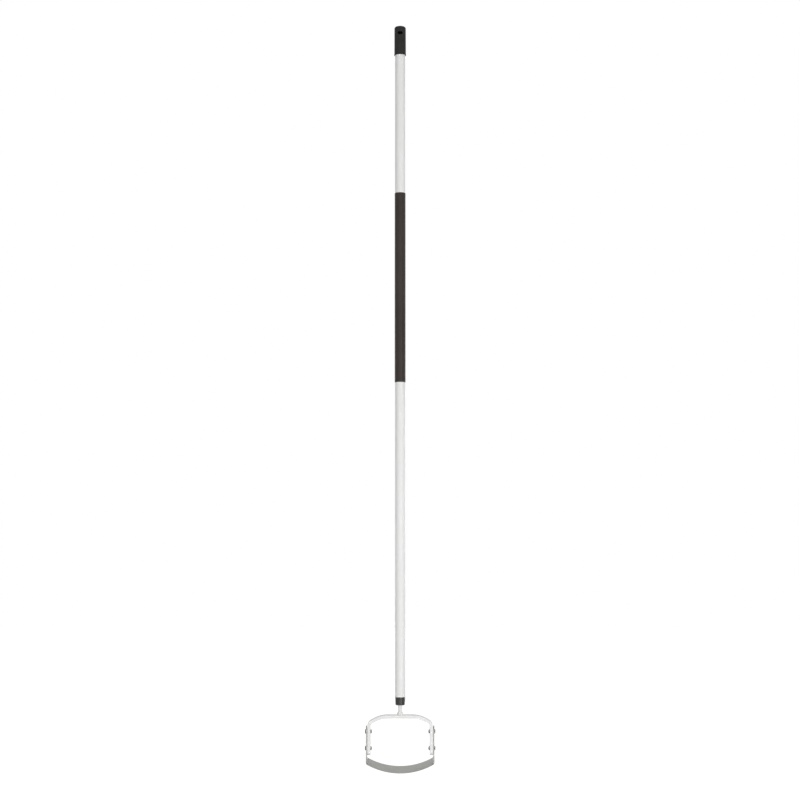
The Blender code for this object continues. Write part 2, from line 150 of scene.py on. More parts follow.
floor_paper, floor_shader = new_material("floor_paper")
floor_shader.inputs["Base Color"].default_value = FLOOR_PAPER
floor_shader.inputs["Roughness"].default_value = 0.9
floor_shader.inputs["Specular IOR Level"].default_value = 0.0
floor_path = add_node(floor_paper, "ShaderNodeLightPath")
floor_glow = add_node(floor_paper, "ShaderNodeMath", {1: FLOOR_GLOW}, operation="MULTIPLY")
join(floor_paper, floor_path.outputs["Is Camera Ray"], floor_glow.inputs[0])
floor_shader.inputs["Emission Color"].default_value = WHITE
join(floor_paper, floor_glow.outputs[0], floor_shader.inputs["Emission Strength"])
floor.data.materials.append(floor_paper)

sky = bpy.data.worlds.new("pale_sky")
sky.use_nodes = True
bpy.context.scene.world = sky
sky.node_tree.nodes.clear()
sky_path = add_node(sky, "ShaderNodeLightPath")
mirrored = add_node(sky, "ShaderNodeMath", operation="MAXIMUM")
join(sky, sky_path.outputs["Is Glossy Ray"], mirrored.inputs[0])
join(sky, sky_path.outputs["Is Transmission Ray"], mirrored.inputs[1])
seen = add_node(sky, "ShaderNodeMath", operation="MAXIMUM")
join(sky, sky_path.outputs["Is Camera Ray"], seen.inputs[0])
join(sky, mirrored.outputs[0], seen.inputs[1])
strength = add_node(sky, "ShaderNodeMapRange", {"To Min": SKY_LIGHT, "To Max": 1.0})
join(sky, seen.outputs[0], strength.inputs["Value"])
background = add_node(sky, "ShaderNodeBackground", {"Color": WHITE})
join(sky, strength.outputs["Result"], background.inputs["Strength"])
sky_output = add_node(sky, "ShaderNodeOutputWorld")
join(sky, background.outputs["Background"], sky_output.inputs["Surface"])
bpy.context.scene.view_settings.view_transform = "Standard"
print("floor at", round(floor_height, 3))

# %% Lamps
LOW_LAMP_DROP = 0.35


def add_softbox(name, location, aim, size, watts):
    """A rectangular lamp that faces the point it is aimed at."""
    lamp_data = bpy.data.lights.new(name, "AREA")
    lamp_data.shape = "RECTANGLE"
    lamp_data.size, lamp_data.size_y = size
    lamp_data.energy = watts
    lamp = bpy.data.objects.new(name, lamp_data)
    bpy.context.scene.collection.objects.link(lamp)
    lamp.location = location
    lamp.rotation_euler = (Vector(aim) - Vector(location)).to_track_quat("-Z", "Y").to_euler()


middle = (cad_box[0][2] + cad_box[1][2]) / 2.0
low = middle - LOW_LAMP_DROP
middle_aim = (0.0, 0.0, middle)
low_aim = (0.0, 0.0, low)
cap_aim = (0.0, 0.0, 0.0)
LAMPS = (
    ("strip_light", (1.4, -3.25, low), low_aim, (0.25, 1.7), 54.0),
    ("front_softbox", (-0.9, -3.4, middle), middle_aim, (1.6, 2.0), 24.0),
    ("left_softbox", (-3.2, -0.6, middle), middle_aim, (1.0, 2.2), 3.0),
    ("right_softbox", (3.2, -0.6, middle), middle_aim, (1.0, 2.2), 3.0),
    ("back_left_softbox", (-2.3, 2.9, low), low_aim, (1.1, 1.7), 26.0),
    ("back_right_softbox", (2.3, 2.9, low), low_aim, (1.1, 1.7), 26.0),
    ("rim_light", (0.0, -0.15, 0.75), cap_aim, (0.3, 0.15), 0.35),
)
for lamp_row in LAMPS:
    add_softbox(*lamp_row)
print(len(LAMPS), "lamps")

# %% [markdown]
# ## How the round pieces are shaped
#
# Cap, grip, collar, stem and screws are all round about an axis. Each starts as one primitive
# circle. In edit mode the circle is extruded to the next height and resized to the next radius,
# ring by ring, the way a turner works down a bar. A Screw modifier would do it too, but its
# profile has to be drawn first. Rings need only a list of radii and heights, which can lie closer
# together where an edge is rounded or a hole is cut.

# %% Turn a piece out of rings
ROUND_SIDES = 96
MERGE_DISTANCE = 0.002 * MM


def start_alone():
    """Operators act on what is selected, so every making step starts with nothing selected."""
    if bpy.context.object and bpy.context.object.mode != "OBJECT":
        bpy.ops.object.mode_set(mode="OBJECT")
    bpy.ops.object.select_all(action="DESELECT")


def pick(piece):
    """Selects one piece alone and makes it the active one."""
    start_alone()
    piece.select_set(True)
    bpy.context.view_layer.objects.active = piece


def settle(piece, name):
    """Puts the object's place into its mesh, so that the object itself sits at the origin."""
    pick(piece)
    bpy.ops.object.transform_apply(location=True, rotation=True, scale=True)
    piece.name = name
    piece.data.name = name
    return piece


def smooth(piece, angle):
    """Smooth shading inside this angle, with big flat faces kept flat by weighted normals."""
    pick(piece)
    bpy.ops.object.shade_smooth_by_angle(angle=math.radians(angle))
    weighted = piece.modifiers.new("flat faces", "WEIGHTED_NORMAL")
    weighted.keep_sharp = True
    bpy.ops.object.modifier_apply(modifier=weighted.name)


def edit_all():
    """Opens the active piece in edit mode with everything selected."""
    bpy.ops.object.mode_set(mode="EDIT")
    bpy.ops.mesh.select_all(action="SELECT")


def face_outwards():
    """Turns every face of the piece in edit mode outwards, and leaves edit mode."""
    bpy.ops.mesh.select_all(action="SELECT")
    bpy.ops.mesh.normals_make_consistent(inside=False)
    bpy.ops.object.mode_set(mode="OBJECT")


def turn_rings(name, rings, sides=ROUND_SIDES, cap_top=True, cap_bottom=True):
    """Rings are (radius, height) pairs. The first ring is the primitive, the rest are extruded."""
    start_alone()
    radius, height = rings[0]
    bpy.ops.mesh.primitive_circle_add(vertices=sides, radius=radius, location=(0.0, 0.0, height))
    piece = settle(bpy.context.object, name)
    edit_all()
    if cap_top:
        bpy.ops.mesh.edge_face_add()
        bpy.ops.mesh.select_all(action="SELECT")
        bpy.ops.mesh.region_to_loop()
    for next_radius, next_height in rings[1:]:
        bpy.ops.mesh.extrude_edges_move(
            TRANSFORM_OT_translate={"value": (0.0, 0.0, next_height - height)}
        )
        share = next_radius / radius
        bpy.ops.transform.resize(value=(share, share, 1.0), center_override=(0.0, 0.0, next_height))
        radius, height = next_radius, next_height
    if cap_bottom:
        bpy.ops.mesh.edge_face_add()
    bpy.ops.mesh.select_all(action="SELECT")
    bpy.ops.mesh.remove_doubles(threshold=MERGE_DISTANCE)
    face_outwards()
    smooth(piece, 35.0)
    return piece


def closed_rings(name, rings, sides=ROUND_SIDES):
    """A sleeve or a washer: the last ring comes back to the first and is merged with it."""
    return turn_rings(name, rings + rings[:1], sides, cap_top=False, cap_bottom=False)


def arc_rings(centre, radius, start, end, steps):
    """Rings round an edge: angles in degrees, 0 pointing outwards and 90 pointing up."""
    rings = []
    for step in range(steps + 1):
        turn = math.radians(start + (end - start) * step / steps)
        rings.append((centre[0] + radius * math.cos(turn), centre[1] + radius * math.sin(turn)))
    return rings


def even_rings(first, last, count):
    """Rings spread evenly between two, without those two."""
    start, end = Vector(first), Vector(last)
    return [tuple(start.lerp(end, step / (count + 1))) for step in range(1, count + 1)]


def apply_modifiers(piece):
    pick(piece)
    for modifier in list(piece.modifiers):
        bpy.ops.object.modifier_apply(modifier=modifier.name)


def cut_away(piece, cutter, operation="DIFFERENCE"):
    """Cuts a piece with another shape, then throws the cutter away."""
    boolean = piece.modifiers.new("cut", "BOOLEAN")
    boolean.operation = operation
    boolean.solver = "EXACT"
    boolean.object = cutter
    apply_modifiers(piece)
    bpy.data.objects.remove(cutter)


def finish_piece(piece, material, slot, body, *nodes):
    """Gives a piece its material and body, and hides the nodes it stands for. The slot is not used."""
    piece.data.materials.clear()
    piece.data.materials.append(material)
    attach(piece, body)
    if nodes:
        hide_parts(*nodes)
    print(piece.name, len(piece.data.polygons), "faces")


# %% [markdown]
# ## Finishes
#
# A finish on a real object is never one flat colour. Each material below starts from one colour
# and adds what the eye reads as its kind: fine grain in the surface, a slow drift of tone, and
# gloss that changes a little from place to place. Patterns sit on Object coordinates, so they stay
# at the real scale, and the blade's streaks follow its UV map round the bends.

# %% Helpers for patterns
def object_point(material):
    return add_node(material, "ShaderNodeTexCoord").outputs["Object"]


def grain(material, point, scale, detail=4.0, stretch=(1.0, 1.0, 1.0), fineness=0.5):
    """Noise with a scale per metre, pulled out along an axis where stretch is small."""
    placed = add_node(material, "ShaderNodeMapping", {"Scale": stretch})
    join(material, point, placed.inputs["Vector"])
    cloud = add_node(
        material, "ShaderNodeTexNoise", {"Scale": scale, "Detail": detail, "Roughness": fineness}
    )
    join(material, placed.outputs["Vector"], cloud.inputs["Vector"])
    return cloud.outputs["Fac"]


def axis_of(material, vector, axis):
    """One of the three numbers of a vector: X, Y or Z."""
    parts = add_node(material, "ShaderNodeSeparateXYZ")
    join(material, vector, parts.inputs["Vector"])
    return parts.outputs[axis]


def reckon(material, operation, first, second):
    """A Math node. Each value is a number or the output of another node."""
    node = add_node(material, "ShaderNodeMath", operation=operation)
    for socket, value in zip(node.inputs, (first, second)):
        if isinstance(value, float):
            socket.default_value = value
        else:
            join(material, value, socket)
    return node.outputs[0]


def spread(material, value, low, high, value_low=0.35, value_high=0.65):
    """Turns the middle part of a pattern into numbers from low to high."""
    ranged = add_node(
        material, "ShaderNodeMapRange",
        {"From Min": value_low, "From Max": value_high, "To Min": low, "To Max": high},
    )
    join(material, value, ranged.inputs["Value"])
    return ranged.outputs["Result"]


def mix_colours(material, amount, first, second):
    """Mixes two colours, each given as numbers or as the output of another node."""
    mix = add_node(material, "ShaderNodeMix", data_type="RGBA")
    join(material, amount, mix.inputs["Factor"])
    for socket, colour in ((mix.inputs[6], first), (mix.inputs[7], second)):
        if isinstance(colour, tuple):
            socket.default_value = (*colour, 1.0)
        else:
            join(material, colour, socket)
    return mix.outputs[2]


def emboss(material, shader, height, depth, strength):
    bump = add_node(material, "ShaderNodeBump", {"Strength": strength, "Distance": depth})
    join(material, height, bump.inputs["Height"])
    join(material, bump.outputs["Normal"], shader.inputs["Normal"])


# %% [markdown]
# ### White coats
#
# The tube and the steel bow are both powder coated. The powder melts into a film with a very fine
# dimple, often called orange peel, so the highlight is broad and a little restless. The tube's
# film is smoother than the one on the welded steel. Faint rub marks dull both in places.

# %% White coats
def powder_coat(name, colour, tint, roughness, specular, peel_scale, peel_depth):
    """A white coat with fine specks, rub marks along the tool and an orange-peel dimple."""
    material, shader = new_material(name)
    point = object_point(material)
    drift = grain(material, point, 9.0, 3.0, (1.0, 1.0, 0.25))
    specks = grain(material, point, 420.0, 2.0)
    toned = mix_colours(material, spread(material, drift, 0.0, 0.5), colour, tint)
    coat = mix_colours(material, spread(material, specks, 0.0, 0.25, 0.62, 0.8), toned, tint)
    join(material, coat, shader.inputs["Base Color"])
    rubbed = grain(material, point, 60.0, 5.0, (1.0, 1.0, 0.15))
    polish = spread(material, rubbed, roughness - 0.05, roughness + 0.07)
    join(material, polish, shader.inputs["Roughness"])
    shader.inputs["Specular IOR Level"].default_value = specular
    emboss(material, shader, grain(material, point, peel_scale, 2.0), peel_depth, 0.5)
    return material


tube_coat = powder_coat(
    "tube_coat", (0.79, 0.79, 0.785), (0.74, 0.74, 0.73),
    roughness=0.46, specular=0.3, peel_scale=900.0, peel_depth=0.03 * MM,
)
steel_paint = powder_coat(
    "steel_paint", (0.82, 0.82, 0.815), (0.74, 0.74, 0.72),
    roughness=0.60, specular=0.1, peel_scale=700.0, peel_depth=0.05 * MM,
)
print("white coats", tube_coat.name, steel_paint.name)

# %% [markdown]
# ### Black plastic and dark rubber
#
# Cap and collar are moulded in black plastic with the fine spark-eroded texture of the mould. The
# grip is a sleeve of dark rubber. It is warmer and a little lighter than the cap, and its skin has
# a soft pebble, so light spreads over it in a wide band.

# %% Black plastic
HOLE_RADIUS = 3.5 * MM
HOLE_STRETCH = 1.55
BORE_FADE = 0.6 * MM
HOLE_PAINTED_SHADE = (0.003, 0.003, 0.003)


def near_hole_axis(material, point):
    """1 inside the hang hole, 0 outside it. The hole runs along Y through the origin."""
    flat = add_node(material, "ShaderNodeMapping", {"Scale": (1.0 / HOLE_STRETCH, 0.0, 1.0)})
    join(material, point, flat.inputs["Vector"])
    distance = add_node(material, "ShaderNodeVectorMath", operation="LENGTH")
    join(material, flat.outputs["Vector"], distance.inputs[0])
    return spread(material, distance.outputs["Value"], 1.0, 0.0, HOLE_RADIUS, HOLE_RADIUS + BORE_FADE)


def moulded_plastic(name, colour, scuff, roughness, specular):
    """Moulded plastic with painted shade, a near-black colour, inside the hang hole, and a fine mottled
    gloss.
    """
    material, shader = new_material(name)
    point = object_point(material)
    drift = grain(material, point, 55.0, 5.0)
    tone = mix_colours(material, spread(material, drift, 0.0, 1.0, 0.4, 0.75), colour, scuff)
    in_bore = near_hole_axis(material, point)
    # Painted shade: inside the hang hole the colour is mixed to near black, standing in for the unlit
    # inside of the hole.
    join(material, mix_colours(material, in_bore, tone, HOLE_PAINTED_SHADE), shader.inputs["Base Color"])
    mottled = grain(material, point, 1800.0, 3.0)
    polish = spread(material, mottled, roughness - 0.03, roughness + 0.05)
    join(material, reckon(material, "MAXIMUM", in_bore, polish), shader.inputs["Roughness"])
    shader.inputs["Specular IOR Level"].default_value = specular
    emboss(material, shader, mottled, 0.03 * MM, 0.3)
    return material


black_plastic = moulded_plastic(
    "black_plastic_skin", (0.0275, 0.0275, 0.0268), (0.0355, 0.0355, 0.0342),
    roughness=0.42, specular=0.05,
)
# The collar takes a lighter copy of the cap's plastic. Its lighter colour is painted light for the
# brighter look it has under the low lamps, and its higher gloss is its own.
collar_plastic_lit = moulded_plastic(
    "collar_plastic_lit_skin", (0.032, 0.032, 0.0305), (0.040, 0.040, 0.038),
    roughness=0.30, specular=0.42,
)
print("plastics", black_plastic.name, collar_plastic_lit.name)


# %% Dark rubber
def rubber_skin(name, colour, dusty, roughness, specular):
    """Rubber with a soft pebble, and a slow drift of dust and gloss."""
    material, shader = new_material(name)
    point = object_point(material)
    drift = grain(material, point, 38.0, 6.0, (1.0, 1.0, 0.4), 0.6)
    tone = mix_colours(material, spread(material, drift, 0.0, 1.0), colour, dusty)
    join(material, tone, shader.inputs["Base Color"])
    pebble = add_node(
        material, "ShaderNodeTexVoronoi", {"Scale": 1300.0, "Smoothness": 0.6}, feature="SMOOTH_F1"
    )
    join(material, point, pebble.inputs["Vector"])
    polish = spread(material, drift, roughness - 0.05, roughness + 0.06)
    join(material, polish, shader.inputs["Roughness"])
    shader.inputs["Specular IOR Level"].default_value = specular
    emboss(material, shader, pebble.outputs["Distance"], 0.08 * MM, 0.4)
    return material


grip_rubber = rubber_skin(
    "grip_rubber_skin", (0.038, 0.0298, 0.0268), (0.0472, 0.038, 0.035),
    roughness=0.33, specular=0.1,
)
print("rubber", grip_rubber.name)

# %% [markdown]
# ### Steels
#
# The blade is bare steel. Rolling leaves faint streaks along the strap, which its UV map carries
# round the bends, and grinding leaves finer marks across the sharpened edges. The screws have
# a black oxide skin and the nuts are zinc plated.

# %% Steels
BEND_PAINTED_SHADE = (0.12, 0.12, 0.115)
BEND_SIDES = (66.5 * MM, 70.0 * MM)
BEND_HEIGHTS = (-1577.0 * MM, -1569.0 * MM)
OUTER_FACE_V = 0.25
INNER_FACE_V = 0.75
GROUND_FROM = 8.2 * MM
GROUND_FADE = 0.3 * MM
GROUND_SIDES = (64.0 * MM, 67.0 * MM)


def side_distance(material, point):
    """How far a point lies from the middle, to the left or the right."""
    return reckon(material, "ABSOLUTE", axis_of(material, point, "X"), 0.0)


def painted_bend_shade(material, point):
    """Half a share where the strap turns up into its legs: the mask for painted shade on the bent
    corners.
    """
    outward = spread(material, side_distance(material, point), 0.0, 1.0, *BEND_SIDES)
    downward = spread(material, axis_of(material, point, "Z"), 0.5, 0.0, *BEND_HEIGHTS)
    return reckon(material, "MULTIPLY", outward, downward)


def on_ground_edge(material, uv, point, girth):
    """1 on the two sharpened bands of the inner face, under the arch and not up the legs."""
    off_middle = reckon(material, "SUBTRACT", axis_of(material, uv, "Y"), INNER_FACE_V)
    across = reckon(material, "ABSOLUTE", off_middle, 0.0)
    band_start, band_full = GROUND_FROM / girth, (GROUND_FROM + GROUND_FADE) / girth
    band = spread(material, across, 0.0, 1.0, band_start, band_full)
    under = spread(material, side_distance(material, point), 1.0, 0.0, *GROUND_SIDES)
    return reckon(material, "MULTIPLY", band, under)


def bare_steel(name, colour, dark, roughness, length, girth):
    """Steel with streaks along a strap whose UV map runs 0 to 1 along its length and round it."""
    material, shader = new_material(name)
    uv = add_node(material, "ShaderNodeTexCoord").outputs["UV"]
    point = object_point(material)
    streaks = grain(material, uv, 1.0, 6.0, (length * 30.0, girth * 2600.0, 1.0), 0.6)
    clouds = grain(material, point, 70.0, 5.0)
    tone = mix_colours(material, spread(material, streaks, 0.0, 1.0), dark, colour)
    steel = mix_colours(material, spread(material, clouds, 0.0, 0.45, 0.45, 0.7), tone, dark)
    marks = grain(material, uv, 1.0, 4.0, (length * 2200.0, girth * 80.0, 1.0), 0.6)
    ground = mix_colours(material, spread(material, marks, 0.0, 1.0), dark, steel)
    edged = mix_colours(material, on_ground_edge(material, uv, point, girth), steel, ground)
    # Painted shade: the bent corners are mixed halfway towards a dark grey, for the darker look of their
    # curved surfaces.
    bend_shaded = mix_colours(material, painted_bend_shade(material, point), edged, BEND_PAINTED_SHADE)
    join(material, bend_shaded, shader.inputs["Base Color"])
    shader.inputs["Metallic"].default_value = 1.0
    polish = spread(material, streaks, roughness + 0.07, roughness - 0.04)
    join(material, polish, shader.inputs["Roughness"])
    emboss(material, shader, streaks, 0.02 * MM, 0.5)
    return material


def coated_steel(name, colour, dull, roughness, grain_scale):
    """The skin of a small turned piece: black oxide or zinc."""
    material, shader = new_material(name)
    point = object_point(material)
    mottled = grain(material, point, grain_scale, 5.0)
    tone = mix_colours(material, spread(material, mottled, 0.0, 1.0), colour, dull)
    join(material, tone, shader.inputs["Base Color"])
    shader.inputs["Metallic"].default_value = 1.0
    polish = spread(material, mottled, roughness - 0.06, roughness + 0.08)
    join(material, polish, shader.inputs["Roughness"])
    emboss(material, shader, mottled, 0.02 * MM, 0.4)
    return material


black_oxide = coated_steel(
    "black_oxide", (0.022, 0.022, 0.024), (0.038, 0.037, 0.036), roughness=0.46, grain_scale=600.0
)
zinc_plate = coated_steel(
    "zinc_plate", (0.46, 0.46, 0.47), (0.37, 0.37, 0.37), roughness=0.34, grain_scale=500.0
)
print("steels", black_oxide.name, zinc_plate.name)

# %% [markdown]
# ## Tube
#
# The shaft is a drawn tube. Its rings run down the outside and come back up the bore, and the last
# ring is merged with the first. The cut ends have a small chamfer round the outside, as a
# deburring tool leaves it.

# %% Tube
tube_low, tube_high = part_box("shaft_tube")
TUBE_RADIUS = tube_high.x
TUBE_WALL = 1.2 * MM
TUBE_BORE = TUBE_RADIUS - TUBE_WALL
DEBURR = 0.25 * MM

tube = closed_rings("tube", [
    (TUBE_RADIUS - DEBURR, tube_high.z), (TUBE_RADIUS, tube_high.z - DEBURR),
    *even_rings((TUBE_RADIUS, tube_high.z - DEBURR), (TUBE_RADIUS, tube_low.z + DEBURR), 24),
    (TUBE_RADIUS, tube_low.z + DEBURR), (TUBE_RADIUS - DEBURR, tube_low.z),
    (TUBE_BORE, tube_low.z), (TUBE_BORE, tube_high.z),
])
finish_piece(tube, tube_coat, "shaft_coating", HANDLE, "shaft_tube")

# %% [markdown]
# ## End cap
#
# The cap is a moulded plug over the tube's top, with a rounded rim, a body that widens slightly
# downwards, and a thin lip at its mouth. Its rings lie close together where the hang hole goes
# through, so the cut edge shades cleanly.

# %% End cap rings
cap_low, cap_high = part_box("end_cap")
CAP_RADIUS = 12.55 * MM
CAP_LOW_RADIUS = 12.75 * MM
CAP_LIP_RADIUS = cap_high.x
RIM_ROUND = 4.0 * MM
LIP_TOP = cap_low.z + 3.4 * MM
CAP_SOCKET_TOP = tube_high.z + 0.25 * MM
CAP_SOCKET_RADIUS = TUBE_RADIUS + 0.05 * MM
CLOSE_STEP = 0.5 * MM
WIDE_STEP = 4.0 * MM

body_top = cap_high.z - RIM_ROUND
body_heights = [body_top - CLOSE_STEP * step for step in range(1, 46)]
body_heights += [body_heights[-1] - WIDE_STEP * step for step in range(1, 9)]
body_heights = [height for height in body_heights if height > LIP_TOP + 1.0 * MM]


def cap_radius(height):
    """The body's radius, which grows evenly from under the rim down to the lip."""
    share = (body_top - height) / (body_top - LIP_TOP)
    return CAP_RADIUS + (CAP_LOW_RADIUS - CAP_RADIUS) * share


cap_rings = [(1.5 * MM, cap_high.z), (CAP_RADIUS - RIM_ROUND - 0.5 * MM, cap_high.z)]
cap_rings += arc_rings((CAP_RADIUS - RIM_ROUND, body_top), RIM_ROUND, 90.0, 0.0, 14)
cap_rings += [(cap_radius(height), height) for height in body_heights]
cap_rings += [
    (CAP_LOW_RADIUS, LIP_TOP + 0.4 * MM), (CAP_LOW_RADIUS + 0.05 * MM, LIP_TOP + 0.2 * MM),
    (CAP_LIP_RADIUS - 0.06 * MM, LIP_TOP + 0.03 * MM), (CAP_LIP_RADIUS, LIP_TOP - 0.12 * MM),
    (CAP_LIP_RADIUS, cap_low.z + 0.45 * MM), (CAP_LIP_RADIUS - 0.12 * MM, cap_low.z + 0.14 * MM),
    (CAP_LIP_RADIUS - 0.4 * MM, cap_low.z), (TUBE_RADIUS + 0.5 * MM, cap_low.z),
    (CAP_SOCKET_RADIUS, cap_low.z + 0.3 * MM), (CAP_SOCKET_RADIUS, CAP_SOCKET_TOP),
]
cap = turn_rings("cap", cap_rings, sides=128)
print("cap rings", len(cap_rings))

# %% [markdown]
# ### Hang hole
#
# The cap hangs on a hook by an oval hole whose mouths are rounded, so the hook slides in. The
# cutter is turned as a bar with flared ends, widened along X, laid along Y and taken away with
# a Boolean. A knife cut would leave the mouths sharp.

# %% Hang hole
MOUTH_ROUND = 1.5 * MM
MOUTH_PROUD = 0.2 * MM

mouth_centre = (HOLE_RADIUS + MOUTH_ROUND, CAP_RADIUS + MOUTH_PROUD - MOUTH_ROUND)
hole_rings = arc_rings(mouth_centre, MOUTH_ROUND, 90.0, 180.0, 12)
hole_rings += [(radius, -height) for radius, height in reversed(hole_rings)]
hole_cutter = turn_rings("hole_cutter", hole_rings, sides=72)
hole_cutter.scale.x = HOLE_STRETCH
hole_cutter.rotation_euler.x = math.radians(90.0)
settle(hole_cutter, "hole_cutter")
cut_away(cap, hole_cutter)
smooth(cap, 40.0)
finish_piece(cap, black_plastic, "black_plastic", HANDLE, "end_cap")

# %% [markdown]
# ## Grip
#
# The grip is a rubber sleeve pushed down the tube. Both ends are rolled over and carry a low bead,
# which catches a short band of light just inside each end.

# %% Grip
grip_low, grip_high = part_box("grip_sleeve")
GRIP_RADIUS = grip_high.x
GRIP_BORE = TUBE_RADIUS - 0.02 * MM
END_PROFILE = [
    (-0.55, 0.0), (-0.25, 0.12), (-0.08, 0.35), (0.0, 0.8), (0.0, 2.2), (0.05, 2.9), (0.13, 3.7),
    (0.16, 4.5), (0.13, 5.3), (0.05, 6.1), (0.0, 6.8), (0.0, 9.0),
]
upper_end = [(GRIP_RADIUS + out * MM, grip_high.z - down * MM) for out, down in END_PROFILE]
lower_end = [(GRIP_RADIUS + out * MM, grip_low.z + down * MM) for out, down in reversed(END_PROFILE)]
grip = closed_rings("grip", [
    *upper_end, *even_rings(upper_end[-1], lower_end[0], 20), *lower_end,
    (GRIP_BORE, grip_low.z), (GRIP_BORE, grip_high.z),
])
finish_piece(grip, grip_rubber, "grip_rubber", HANDLE, "grip_sleeve")

# %% [markdown]
# ## Collar and stem
#
# A tapered plastic collar closes the tube's lower mouth and holds the steel stem in the middle.
# The stem is a round bar with a chamfered top. Both are turned from rings like the cap.

# %% Collar
collar_low, collar_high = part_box("collar")
stem_low, stem_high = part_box("stem")
COLLAR_RADIUS = collar_high.x
COLLAR_LOW_RADIUS = 10.05 * MM
COLLAR_ROUND = 2.2 * MM
SPIGOT_RADIUS = TUBE_BORE - 0.25 * MM
STEM_RADIUS = stem_high.x
COLLAR_BORE = STEM_RADIUS + 0.2 * MM
COLLAR_CHAMFER = 0.35 * MM
SPIGOT_CHAMFER = 1.0 * MM
collar_top = tube_low.z

collar_rings = [
    (SPIGOT_RADIUS - SPIGOT_CHAMFER, collar_high.z), (SPIGOT_RADIUS, collar_high.z - SPIGOT_CHAMFER),
    (SPIGOT_RADIUS, collar_top), (COLLAR_RADIUS - COLLAR_CHAMFER, collar_top),
    (COLLAR_RADIUS - 0.1 * MM, collar_top - 0.1 * MM), (COLLAR_RADIUS, collar_top - COLLAR_CHAMFER),
]
round_middle = (COLLAR_LOW_RADIUS - COLLAR_ROUND, collar_low.z + COLLAR_ROUND)
low_round = arc_rings(round_middle, COLLAR_ROUND, 0.0, -90.0, 10)
collar_rings += even_rings(collar_rings[-1], low_round[0], 4) + low_round
collar_rings += [
    (COLLAR_BORE + COLLAR_CHAMFER, collar_low.z), (COLLAR_BORE, collar_low.z + COLLAR_CHAMFER),
    (COLLAR_BORE, collar_high.z),
]
collar = closed_rings("collar_piece", collar_rings)
finish_piece(collar, collar_plastic_lit, "black_plastic", HANDLE, "collar")

# %% Stem
STEM_CHAMFER = 0.6 * MM
stem_foot = stem_low.z - 0.25 * MM
stem_shoulder = stem_high.z - STEM_CHAMFER
stem = turn_rings("stem_bar", [
    (STEM_RADIUS - STEM_CHAMFER, stem_high.z), (STEM_RADIUS, stem_shoulder),
    *even_rings((STEM_RADIUS, stem_shoulder), (STEM_RADIUS, stem_foot), 8), (STEM_RADIUS, stem_foot),
], sides=64)
finish_piece(stem, steel_paint, "white_paint", HANDLE, "stem")

# %% [markdown]
# ## Weld
#
# The stem is welded to the bow all round its foot. A weld bead is a row of small frozen puddles.
# The fillet is turned as a plain ring, then its points are pushed out in overlapping ripples with
# a little unevenness, which a smooth ring lacks. Paint covers the weld too, so it shares the bow's
# finish.

# %% Weld
weld_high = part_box("weld_fillet")[1]
bow_low, bow_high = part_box("bow")
WELD_RADIUS = 7.0 * MM
WELD_CROWN = 0.45 * MM
WELD_STEPS = 20
WELD_SINK = 0.3 * MM
WELD_TUCK = 0.1 * MM
PUDDLES = 26
PUDDLE_LEAN = 0.9
PUDDLE_CURVE = 0.7
PUDDLE_MEAN = 0.59
PUDDLE_HEIGHT = 0.11 * MM
UNEVEN_HEIGHT = 0.30 * MM
UNEVEN_SCALE = 260.0
PUSH_UP = 0.6
weld_height = weld_high.z - bow_high.z

weld_rings = []
for step in range(WELD_STEPS + 1):
    share = step / WELD_STEPS
    crown = WELD_CROWN * math.sin(math.pi * share)
    weld_rings.append((
        STEM_RADIUS + (WELD_RADIUS - STEM_RADIUS) * share + crown,
        bow_high.z + weld_height * (1.0 - share) + crown,
    ))
toe_low = bow_high.z - WELD_SINK
weld_rings += [(WELD_RADIUS - WELD_TUCK, toe_low), (STEM_RADIUS - WELD_TUCK, toe_low)]
weld_rings += [(STEM_RADIUS - WELD_TUCK, weld_rings[0][1])]
weld = closed_rings("weld_bead", weld_rings, sides=120)
for vertex in weld.data.vertices:
    place = vertex.co
    out = Vector((place.x, place.y, 0.0))
    height = (place.z - bow_high.z) / weld_height
    if out.length < STEM_RADIUS or height < 0.0:
        continue
    swell = math.sin(math.pi * min(height, 1.0))
    round_turn = math.atan2(place.y, place.x) / math.tau * PUDDLES + PUDDLE_LEAN * swell
    ripple = (round_turn % 1.0) ** PUDDLE_CURVE - PUDDLE_MEAN
    uneven = noise.noise(place * UNEVEN_SCALE) * (0.3 + swell)
    push = PUDDLE_HEIGHT * ripple * swell + UNEVEN_HEIGHT * uneven
    vertex.co += (out.normalized() + Vector((0.0, 0.0, PUSH_UP))) * push
smooth(weld, 60.0)
finish_piece(weld, steel_paint, "white_paint", HANDLE, "weld_fillet")

# %% [markdown]
# ## Bow
#
# The bow is a flat steel strap bent into a yoke. Its section starts as one plane, which is
# extruded along the flat top and carried round each bend with Spin, as a bender does with the real
# strap. A Mirror modifier adds the other half. Bevels round the ends of the arms first and then
# every long edge, because paint never sits on a sharp edge.

# %% Bow sizes
BOW_THICKNESS = 6.8 * MM
BOW_HALF_WIDTH = bow_high.y
BOW_FLAT_HALF = 26.0 * MM
SHOULDER_ANGLE = math.radians(28.0)
FIRST_RADIUS = 60.0 * MM
CORNER_RADIUS = 12.0 * MM
ARM_END_ROUND = 7.0 * MM
EDGE_ROUND = 0.9 * MM
BEND_STEPS = 16

